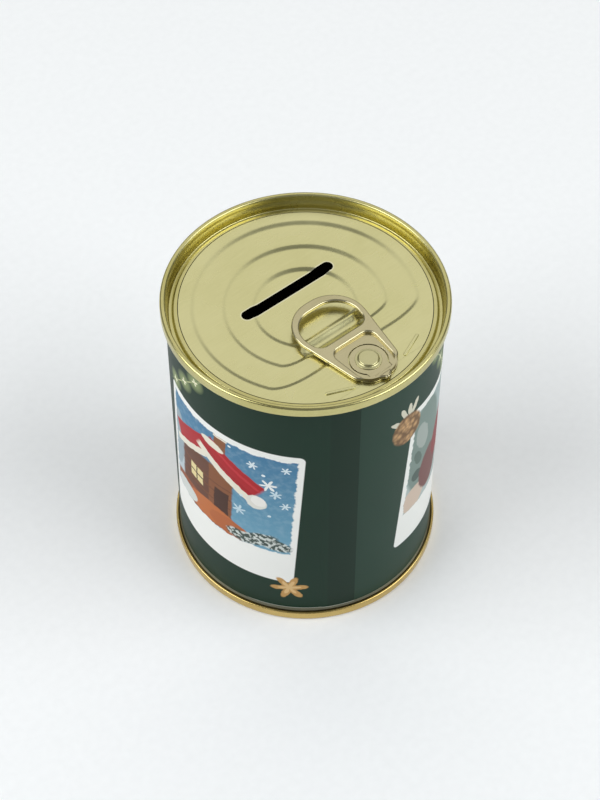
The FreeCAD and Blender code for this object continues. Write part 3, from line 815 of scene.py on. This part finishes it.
def arc_points(centre_y, radius, start, end, steps=64):
    """Points on a circle about (0, centre_y), by angle from +X in degrees."""
    out = []
    for step in range(steps + 1):
        angle = math.radians(start + (end - start) * step / steps)
        out.append(Vector((radius * math.cos(angle), centre_y + radius * math.sin(angle))))
    return out


def flat_plate(loops, thickness, roll, bottom):
    """A plate with the given closed loops, its edges rolled to a radius, as a bmesh in millimetres."""
    curve = bpy.data.curves.new("plate", "CURVE")
    curve.dimensions = "2D"
    curve.fill_mode = "BOTH"
    curve.extrude = thickness / 2 - roll
    curve.bevel_depth = roll
    curve.bevel_resolution = 5
    curve.offset = -roll
    for loop in loops:
        spline = curve.splines.new("POLY")
        spline.points.add(len(loop) - 1)
        for point, spot in zip(spline.points, loop):
            point.co = (spot.x, spot.y, 0, 1)
        spline.use_cyclic_u = True
    holder = bpy.data.objects.new("plate", curve)
    bpy.context.scene.collection.objects.link(holder)
    bm = baked(holder)
    bmesh.ops.remove_doubles(bm, verts=bm.verts, dist=0.002)
    bmesh.ops.recalc_face_normals(bm, faces=bm.faces)
    bmesh.ops.translate(bm, vec=(0, 0, bottom + thickness / 2), verts=bm.verts)
    return bm


LOOP_TOP = RING_END - 2.8
LOOP_NEAR = LOOP_TOP - 11.9
WINDOW_TOP = LOOP_NEAR - 2.4
WINDOW_NOSE = NOSE_TIP + 2.0
TONGUE_RADIUS, TONGUE_NECK, SLIT = 4.9, 3.4, 0.3
OUTLINE = [(0, NOSE_TIP, 0.7), (7.2, NOSE_TIP + 4.6, 3.0), (12.4, RING_END, 9.6)]
CREASE_HALF, CREASE_ANGLE, CREASE_ASIDE, CREASE_BACK = (0.34, 0.62, 0.4), 24, 0.5, 0.75
FINGER_HOLE = [(8.0, LOOP_NEAR, 3.0), (9.7, LOOP_TOP, 6.8)]
WINDOW = [(5.6, WINDOW_NOSE, 4.6), (6.7, WINDOW_TOP, 2.5)]


def island_loop(radius, neck, end_y):
    """The outline of the tongue: a disc about the rivet with a straight neck to end_y."""
    meet = math.degrees(math.asin(neck / radius))
    arc = arc_points(RIVET_Y, radius, -90 + meet, 270 - meet)
    return [Vector((neck, end_y))] + arc + [Vector((-neck, end_y))]


def nose_crease(side):
    """A small pleat where the rim's metal gathers at the tip of the nose."""
    bm = bmesh.new()
    bmesh.ops.create_uvsphere(bm, u_segments=24, v_segments=14, radius=1)
    bmesh.ops.scale(bm, vec=CREASE_HALF, verts=bm.verts)
    turn = Matrix.Rotation(math.radians(side * CREASE_ANGLE), 3, "Z")
    bmesh.ops.rotate(bm, cent=(0, 0, 0), matrix=turn, verts=bm.verts)
    spot = (side * CREASE_ASIDE, NOSE_TIP + CREASE_BACK, TAB_BOTTOM + TAB_RIM - CREASE_HALF[2])
    bmesh.ops.translate(bm, vec=spot, verts=bm.verts)
    return bm


def make_tab():
    window = rounded(mirrored(WINDOW))
    loops = [rounded(mirrored(OUTLINE)), rounded(mirrored(FINGER_HOLE)), window]
    bm = flat_plate(loops, TAB_RIM, ROLL, TAB_BOTTOM)
    middle = Vector((0, (WINDOW_TOP + WINDOW_NOSE) / 2))
    wide = [middle + (p - middle) * WEB_REACH for p in window]
    cut = island_loop(TONGUE_RADIUS + SLIT, TONGUE_NECK + SLIT / 2, BEND_Y)
    join_into(bm, flat_plate([wide, cut], TAB_SHEET, SHEET_ROLL, TAB_BOTTOM))
    for side in (-1, 1):
        join_into(bm, nose_crease(side))
    return new_piece("ring_pull", bm, tab_metal, "tab", "pull_tab", 50)


def make_tongue():
    outline = island_loop(TONGUE_RADIUS, TONGUE_NECK, BEND_Y + BEND_GAP)
    hole = arc_points(RIVET_Y, RIVET_SHANK + RIVET_PLAY, 0, 354, 59)
    bm = flat_plate([outline, hole], TAB_SHEET, SHEET_ROLL, TAB_BOTTOM)
    return new_piece("rivet_tongue", bm, tab_metal, "panel", "tab_tongue", 50)


for make in (make_tab, make_tongue):
    piece = make()
    print(piece.name, len(piece.data.polygons), "faces")

# %% [markdown]
# ## Paper label
# A flat grid the size of the paper is wrapped round the can. It starts at the free edge and goes
# round until it disappears under itself, so the last nine millimetres lie one paper thickness
# deeper. The grid's own UV map is the flat print, in which x runs back from the free edge and y up.

# %% Paper label
LABEL_HEIGHT = LABEL_HIGH - LABEL_LOW
ROUND = 2 * math.pi * (LABEL_RADIUS + PAPER)
PAPER_LENGTH = ROUND + LAP_WIDTH
CLIMB = 1.2


def wrap_label(material):
    bm = bmesh.new()
    bm.loops.layers.uv.new("UVMap")
    columns, rows = 480, 30
    bmesh.ops.create_grid(bm, x_segments=columns, y_segments=rows, size=0.5, calc_uvs=True)
    low = LABEL_RADIUS + PAPER / 2
    high = low + PAPER + LAP_GLUE
    for vert in bm.verts:
        back = (0.5 - vert.co.x) * PAPER_LENGTH
        climb = ease((LAP_WIDTH + CLIMB - back) / CLIMB)
        radius = low + (high - low) * climb
        angle = math.radians(LAP_AZIMUTH) - back / (LABEL_RADIUS + PAPER)
        height = LABEL_LOW + (vert.co.y + 0.5) * LABEL_HEIGHT
        vert.co = (radius * math.cos(angle), radius * math.sin(angle), height)
    for vert in bm.verts:
        vert.normal_update()
    outward = sum(face.normal.dot(face.calc_center_median().xy.to_3d()) for face in bm.faces)
    if outward < 0:
        bmesh.ops.reverse_faces(bm, faces=bm.faces)
    bm.normal_update()
    for vert in bm.verts:
        vert.co += vert.normal * (PAPER / 2)
    bmesh.ops.solidify(bm, geom=bm.faces[:], thickness=PAPER)
    return new_piece("paper_label", bm, material, "can", "label", 60)


print("label sheet %.1f x %.1f mm when flat" % (PAPER_LENGTH, LABEL_HEIGHT))

# %% [markdown]
# ## The print on the label
# The print is built the way a printer lays down inks: dark green all over, then white cards,
# then the pictures, each shape a stamp of one ink. A stamp is two dot products that carry a point
# of the paper into the shape's own square, a length or a largest side there, and a mix.
# The pictures are plain winter scenes with no lettering.

# %% The print on the label
UV_TO_MM = (PAPER_LENGTH, LABEL_HEIGHT, 1.0)


def own_sides(tree, at, spot, size, turn):
    """A point of the paper along a shape's own two axes, 1 at the shape's edge.

    Two dot products do it, which keeps every link a plain vector or a plain number.
    """
    offset = add(tree, "VectorMath", {"operation": "SUBTRACT"}, {0: at, 1: (spot[0], spot[1], 0)})[0]
    cosine, sine = math.cos(math.radians(turn)), math.sin(math.radians(turn))
    along = (cosine / size[0], sine / size[0], 0)
    up = (-sine / size[1], cosine / size[1], 0)
    return [
        add(tree, "VectorMath", {"operation": "DOT_PRODUCT"}, {0: offset, 1: axis})["Value"]
        for axis in (along, up)
    ]


def faded(tree, amount, start, end, at_start=1.0, at_end=0.0):
    """Goes from one value to another while an amount goes from start to end."""
    limits = {"From Min": start, "From Max": end, "To Min": at_start, "To Max": at_end}
    return add(tree, "MapRange", links={"Value": amount, **limits})[0]


def inked(tree, share, under, over):
    """A mix of two colours by a share."""
    return add(tree, "Mix", {"data_type": "RGBA"}, {0: share, 6: under, 7: over})[2]


def masked(tree, colour, ink, mask, through):
    """Lays an ink on a colour where a mask is 1, inside the through mask if there is one."""
    if through is not None:
        mask = add(tree, "Math", {"operation": "MULTIPLY"}, {0: mask, 1: through})[0]
    ink = ink if isinstance(ink, bpy.types.NodeSocket) else linear(ink)
    return inked(tree, mask, colour, ink), mask


def stamp(tree, at, colour, ink, spot, size, turn=0.0, square=False, soft=0.06, through=None):
    """Prints one ellipse or rectangle of ink and returns the new colour and the stamp's mask."""
    sides = own_sides(tree, at, spot, size, turn)
    low, high = 1 - soft, 1 + soft
    if square:
        sides = [add(tree, "Math", {"operation": "ABSOLUTE"}, {0: side})[0] for side in sides]
        reach = add(tree, "Math", {"operation": "MAXIMUM"}, {0: sides[0], 1: sides[1]})[0]
    else:
        squared = add(tree, "Math", {"operation": "MULTIPLY"}, {0: sides[0], 1: sides[0]})[0]
        reach = add(tree, "Math", {"operation": "MULTIPLY_ADD"}, {0: sides[1], 1: sides[1], 2: squared})[0]
        low, high = low * low, high * high
    return masked(tree, colour, ink, faded(tree, reach, low, high), through)


def flake(tree, at, colour, spot, size, ink, arms=6, inner=0.28, turn=0.0, through=None):
    """A snowflake or flower: its edge swings between inner and 1 as it goes round."""
    sides = own_sides(tree, at, spot, (size, size), turn)
    angle = add(tree, "Math", {"operation": "ARCTAN2"}, {0: sides[1], 1: sides[0]})[0]
    turns = add(tree, "Math", {"operation": "MULTIPLY"}, {0: angle, 1: float(arms)})[0]
    wave = add(tree, "Math", {"operation": "COSINE"}, {0: turns})[0]
    edge = add(tree, "MapRange", links={"Value": wave, "From Min": -1.0, "To Min": inner})[0]
    squared = add(tree, "Math", {"operation": "MULTIPLY"}, {0: sides[0], 1: sides[0]})[0]
    reach = add(tree, "Math", {"operation": "MULTIPLY_ADD"}, {0: sides[1], 1: sides[1], 2: squared})[0]
    reach = add(tree, "Math", {"operation": "SQRT"}, {0: reach})[0]
    inside = add(tree, "Math", {"operation": "SUBTRACT"}, {0: edge, 1: reach})[0]
    mask = faded(tree, inside, -0.04, 0.08, 0.0, 1.0)
    return masked(tree, colour, ink, mask, through)[0]


def on_card(card, turn, spot):
    """A place on a card, in millimetres from its middle, as a place on the paper."""
    cosine, sine = math.cos(math.radians(turn)), math.sin(math.radians(turn))
    return card[0] + spot[0] * cosine - spot[1] * sine, card[1] + spot[0] * sine + spot[1] * cosine


CARD_HALF, CARD_CORNER, CARD_BLUR = (23.0, 28.8), 1.8, 0.12
PICTURE_SPOT, PICTURE_HALF = (0.0, 5.6), (21.2, 20.8)


def blank_card(tree, at, colour, card, turn):
    """The white card with its rounded corners, found as a distance from its inner rectangle."""
    beyond = []
    for side, half in zip(own_sides(tree, at, card, (1, 1), turn), CARD_HALF):
        side = add(tree, "Math", {"operation": "ABSOLUTE"}, {0: side})[0]
        side = add(tree, "Math", {"operation": "SUBTRACT"}, {0: side, 1: half - CARD_CORNER})[0]
        beyond.append(add(tree, "Math", {"operation": "MAXIMUM"}, {0: side, 1: 0.0})[0])
    squared = add(tree, "Math", {"operation": "MULTIPLY"}, {0: beyond[0], 1: beyond[0]})[0]
    reach = add(tree, "Math", {"operation": "MULTIPLY_ADD"}, {0: beyond[1], 1: beyond[1], 2: squared})[0]
    reach = add(tree, "Math", {"operation": "SQRT"}, {0: reach})[0]
    mask = faded(tree, reach, CARD_CORNER - CARD_BLUR, CARD_CORNER + CARD_BLUR)
    return masked(tree, colour, "#F9F9F4", mask, None)[0]


def print_card(tree, straight, paper, colour, ragged, card, turn, shapes, sky_low, sky_high, noise):
    """A white card with a ragged picture on it; shapes are (kind, ink, spot, size, tilt)."""
    colour = blank_card(tree, straight, colour, card, turn)
    height = own_sides(tree, paper, card, (1, 1), turn)[1]
    fade = faded(tree, height, -10.0, 26.0, 0.0, 1.0)
    sky = inked(tree, fade, linear(sky_low), linear(sky_high))
    cloud = faded(tree, noise, 0.45, 0.8, 0.0, 0.35)
    sky = inked(tree, cloud, sky, linear("#A9C4D2"))
    middle = on_card(card, turn, PICTURE_SPOT)
    colour, picture = stamp(tree, ragged, colour, sky, middle, PICTURE_HALF, turn, square=True, soft=0.01)
    for kind, ink, spot, size, tilt in shapes:
        where = on_card(card, turn, spot)
        if kind == "flake":
            colour = flake(tree, paper, colour, where, size, ink, turn=tilt, through=picture)
        else:
            block = kind == "block"
            colour, _ = stamp(tree, paper, colour, ink, where, size, tilt + turn, block, 0.05, picture)
    return colour


COTTAGE = [
    ("round", "#C3D0D6", (-18.0, -4.0), (9.0, 14.0), 10),
    ("round", "#9FB0B8", (-20.0, 6.0), (4.0, 13.0), -4),
    ("block", "#6B4433", (-6.5, 1.0), (10.0, 11.0), 0),
    ("block", "#8A5636", (-0.5, 1.0), (4.0, 11.0), 0),
    ("block", "#7A4A30", (-6.5, 4.6), (10.0, 0.35), 0),
    ("block", "#7A4A30", (-6.5, 0.6), (10.0, 0.35), 0),
    ("block", "#7A4A30", (-6.5, -3.4), (10.0, 0.35), 0),
    ("block", "#EAD9A0", (-9.6, 1.2), (2.7, 3.1), 0),
    ("block", "#4B3227", (-9.6, 1.2), (0.25, 3.1), 0),
    ("block", "#4B3227", (-9.6, 1.2), (2.7, 0.25), 0),
    ("block", "#4B2E22", (0.0, -2.8), (2.5, 5.6), 0),
    ("block", "#8E5A3C", (-1.0, 22.0), (1.9, 4.6), 0),
    ("block", "#EFE8D6", (-1.0, 26.4), (2.3, 0.8), 0),
    ("block", "#B3242B", (-11.0, 15.6), (9.2, 3.6), 28),
    ("block", "#B3242B", (2.4, 15.0), (10.4, 3.8), -33),
    ("block", "#C5333A", (2.9, 16.4), (10.2, 0.5), -33),
    ("block", "#A71F27", (1.7, 13.4), (10.4, 0.4), -33),
    ("block", "#EFE8D6", (1.0, 10.9), (11.6, 1.3), -33),
    ("block", "#EFE8D6", (-13.0, 10.6), (8.0, 1.2), 28),
    ("round", "#EFE8D6", (-3.6, 21.2), (4.0, 1.5), -10),
    ("round", "#E9E6DC", (10.8, 5.6), (3.0, 3.0), 0),
    ("round", "#F6F3EC", (11.4, 6.3), (2.1, 2.1), 0),
    ("round", "#9A5634", (-9.0, -11.4), (12.0, 4.4), -4),
    ("round", "#C4723F", (-4.0, -10.6), (9.0, 4.4), 4),
    ("round", "#B9683B", (3.0, -11.8), (7.0, 3.8), -8),
    ("round", "#D9DDD8", (-15.0, -12.6), (5.6, 3.0), 6),
]
COTTAGE_SNOW = [
    ("flake", "#E4EFF3", (9.0, 21.5), 1.7, 0),
    ("flake", "#DDEBF1", (18.2, 22.5), 1.5, 10),
    ("flake", "#F2F5F3", (13.8, 14.6), 2.6, 8),
    ("flake", "#CFE2EA", (16.0, 11.2), 1.9, 20),
    ("flake", "#D8E8EE", (18.8, 6.8), 1.6, 0),
    ("flake", "#C7DDE6", (5.9, -0.8), 2.2, 12),
    ("round", "#EAF2F4", (12.2, 18.6), (0.5, 0.5), 0),
    ("round", "#DCEAEF", (6.4, 6.2), (0.5, 0.5), 0),
    ("round", "#DCEAEF", (14.8, 1.0), (0.45, 0.45), 0),
    ("round", "#EAF2F4", (2.0, 25.0), (0.5, 0.4), 0),
]
GROVE = [
    ("round", "#7E8F88", (-14.0, 8.0), (9.0, 20.0), 6),
    ("round", "#A7B0AA", (-16.5, 14.0), (3.0, 6.0), 20),
    ("round", "#5E6F68", (-17.5, 6.0), (1.6, 3.4), 28),
    ("round", "#4F5D58", (-17.0, -1.6), (2.6, 2.2), -40),
    ("round", "#D8C2B0", (-17.0, -11.0), (5.4, 5.0), 0),
    ("round", "#7B4A48", (-9.0, -4.0), (6.4, 9.0), 10),
    ("round", "#8F2A30", (-2.0, 4.0), (6.0, 9.0), -14),
    ("round", "#B98F86", (6.0, -4.0), (7.0, 9.0), 6),
]
FOREST = [
    ("round", "#5F7D72", (-12.0, 2.0), (5.0, 14.0), 0),
    ("round", "#46645A", (-2.0, 0.0), (6.0, 17.0), 0),
    ("round", "#55756A", (10.0, 1.0), (5.5, 15.0), 0),
    ("round", "#E6EBEA", (0.0, -16.0), (24.0, 8.0), 0),
]


SPRIGS = [
    ((11.5, -11.6), (6.6, 2.6), 24),
    ((16.8, -12.0), (5.0, 2.4), -12),
    ((6.4, -12.6), (4.2, 2.2), 0),
]
STARS = [(-18.7, 8), (-95.6, -10), (-172.4, 15)]
CONES = [-215.2, -138.4]
CONE_LEAVES = [(-1.6, 7.0, 24), (2.6, 7.6, -24), (-4.0, 4.6, 60), (0.6, 7.2, 0)]
STRINGS = [(-51.0, 84.6, 10.5, 41), (-197.4, 82.8, 10.0, -56), (-124.0, 85.0, 11.0, -38)]
STAR_HEIGHT, CONE_HEIGHT = 14.0, 72.0


def sprig(tree, at, colour, speck, spot, size, turn, dark="#46554F", light="#D5DBD6"):
    """A snowy twig: a dark tuft that a coarse noise breaks into pale needles."""
    needles = faded(tree, speck, 0.47, 0.56, 0.0, 1.0)
    ink = inked(tree, needles, linear(dark), linear(light))
    return stamp(tree, at, colour, ink, spot, size, turn, soft=0.12)[0]


def print_label():
    material, tree = new_material("coated label paper")
    uv = add(tree, "UVMap", {"uv_map": "UVMap"})[0]
    flat = add(tree, "VectorMath", {"operation": "SUBTRACT"}, {0: uv, 1: (1, 0, 0)})[0]
    paper = add(tree, "VectorMath", {"operation": "MULTIPLY"}, {0: flat, 1: UV_TO_MM})[0]
    paper = add(tree, "VectorMath", {"operation": "ADD"}, {0: paper, 1: (0, LABEL_LOW, 0)})[0]
    brush = add(tree, "TexNoise", links={"Vector": paper, "Scale": 0.5, "Detail": 4.0})
    fine = add(tree, "TexNoise", links={"Vector": paper, "Scale": 0.8, "Detail": 2.0})
    wobble = add(tree, "VectorMath", {"operation": "SUBTRACT"}, {0: brush["Color"], 1: (0.5, 0.5, 0.5)})[0]
    ragged = add(tree, "VectorMath", {"operation": "MULTIPLY"}, {0: wobble, 1: (2.2, 2.2, 0)})[0]
    slight = add(tree, "VectorMath", {"operation": "MULTIPLY"}, {0: wobble, 1: (0.9, 0.9, 0)})[0]
    drawn = add(tree, "VectorMath", {"operation": "ADD"}, {0: paper, 1: slight})[0]
    torn = add(tree, "VectorMath", {"operation": "ADD"}, {0: paper, 1: ragged})[0]
    broad = add(tree, "TexNoise", links={"Vector": paper, "Scale": 0.05, "Detail": 2.0})["Fac"]
    colour = inked(tree, broad, linear("#102C1F"), linear("#173627"))
    cards = [
        ((-38.8, 46.6), -3.4, COTTAGE + COTTAGE_SNOW, "#6FA3BC", "#4A7FA3"),
        ((-192.4, 45.9), -5.2, GROVE, "#B9C3BF", "#9FB0AE"),
        ((-115.6, 46.4), 3.0, FOREST + COTTAGE_SNOW, "#9DBBC8", "#5D8BA8"),
    ]
    for spot, turn, shapes, low, high in cards:
        colour = print_card(tree, paper, drawn, colour, torn, spot, turn, shapes, low, high, brush["Fac"])
    card, turn = cards[0][:2]
    for spot, size, tilt in SPRIGS:
        colour = sprig(tree, drawn, colour, fine["Fac"], on_card(card, turn, spot), size, tilt + turn)
    for x, turn in STARS:
        colour = flake(tree, drawn, colour, (x, STAR_HEIGHT), 5.6, "#C79A5C", 6, 0.42, turn)
        colour = flake(tree, drawn, colour, (x, STAR_HEIGHT), 3.4, "#E2BE85", 6, 0.3, turn)
    for x in CONES:
        for dx, dy, tilt in CONE_LEAVES:
            colour, _ = stamp(tree, drawn, colour, "#DDD8C4", (x + dx, CONE_HEIGHT + dy), (0.8, 2.6), tilt)
        rings = add(tree, "TexVoronoi", links={"Vector": drawn, "Scale": 0.55})["Distance"]
        scale = faded(tree, rings, 0.1, 0.7, 0.0, 1.0)
        bark = inked(tree, scale, linear("#D3A673"), linear("#7A5636"))
        colour, _ = stamp(tree, drawn, colour, bark, (x, CONE_HEIGHT), (5.4, 5.8), 20)
    for x, y, length, tilt in STRINGS:
        colour, _ = stamp(tree, paper, colour, "#D8D6A0", (x, y), (length, 0.16), tilt, soft=0.4)
        for share in (-0.8, -0.1, 0.55):
            dx = length * share * math.cos(math.radians(tilt))
            dy = length * share * math.sin(math.radians(tilt))
            colour, _ = stamp(tree, paper, colour, "#8F9E6C", (x + dx, y + dy), (1.9, 1.9), 0, soft=0.95)
            colour = flake(tree, paper, colour, (x + dx, y + dy), 1.3, "#F3F0CF", 4, 0.2, 20)
    along, height = own_sides(tree, paper, (0.0, LABEL_LOW), (1, 1), 0)
    lap = faded(tree, along, -8.3, -7.7, 0.0, 0.2)
    colour = inked(tree, lap, colour, linear("#060E0A"))
    start = faded(tree, along, 70 - ROUND, 20 - ROUND, 0.0, 0.08)
    colour = inked(tree, start, colour, linear("#6E9282"))
    worn = faded(tree, height, 0.1, 0.3)
    near = faded(tree, along, -32.0, -28.0, 0.0, 1.0)
    worn = add(tree, "Math", {"operation": "MULTIPLY"}, {0: worn, 1: near})[0]
    colour = inked(tree, worn, colour, linear("#B9BEB2"))
    fibres = add(tree, "TexNoise", links={"Vector": paper, "Scale": 3.0, "Detail": 3.0})["Fac"]
    bump = add(tree, "Bump", links={"Height": fibres, "Strength": 0.12, "Distance": 0.00004})[0]
    gloss = add(tree, "MapRange", links={"Value": broad, "To Min": 0.4, "To Max": 0.5})[0]
    print_coat = add(
        tree,
        "BsdfPrincipled",
        links={"Base Color": colour, "Roughness": gloss, "Normal": bump, "Specular IOR Level": 0.15},
    )[0]
    close_material(tree, print_coat)
    return material


label = wrap_label(print_label())
print(label.name, len(label.data.polygons), "faces")

# %% [markdown]
# ## What stays hidden
# Rings of sealing compound sit inside the seams, and a strip of glue lies under the lap. Their
# CAD solids have the right shape, so they only get their own finish.


# %% What stays hidden
def dull_film(name, pale, dark, roughness, scale_mm):
    """A cured film with slight unevenness."""
    material, tree = new_material(name)
    place = add(tree, "TexCoord")["Object"]
    noise = add(tree, "TexNoise", links={"Vector": place, "Scale": 1 / (scale_mm * MM), "Detail": 3.0})["Fac"]
    colour = add(tree, "Mix", {"data_type": "RGBA"}, {0: noise, 6: linear(dark), 7: linear(pale)})[2]
    bump = add(tree, "Bump", links={"Height": noise, "Strength": 0.3, "Distance": 0.00005})[0]
    film = add(
        tree, "BsdfPrincipled", links={"Base Color": colour, "Roughness": roughness, "Normal": bump}
    )[0]
    close_material(tree, film)
    return material


def refinish(node, material):
    """Gives a CAD node a new material in place of its plain one."""
    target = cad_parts[node]
    target.data.materials.clear()
    target.data.materials.append(material)


compound = dull_film("sealing compound", "#8A857A", "#6E6A60", 0.6, 1.5)
lap_glue = dull_film("dextrin glue", "#D9C79A", "#C4AE7C", 0.4, 2.0)
for node in ("top_seam_compound", "bottom_seam_compound"):
    refinish(node, compound)
refinish("label_lap_glue", lap_glue)
print("finished", compound.name, "and", lap_glue.name)
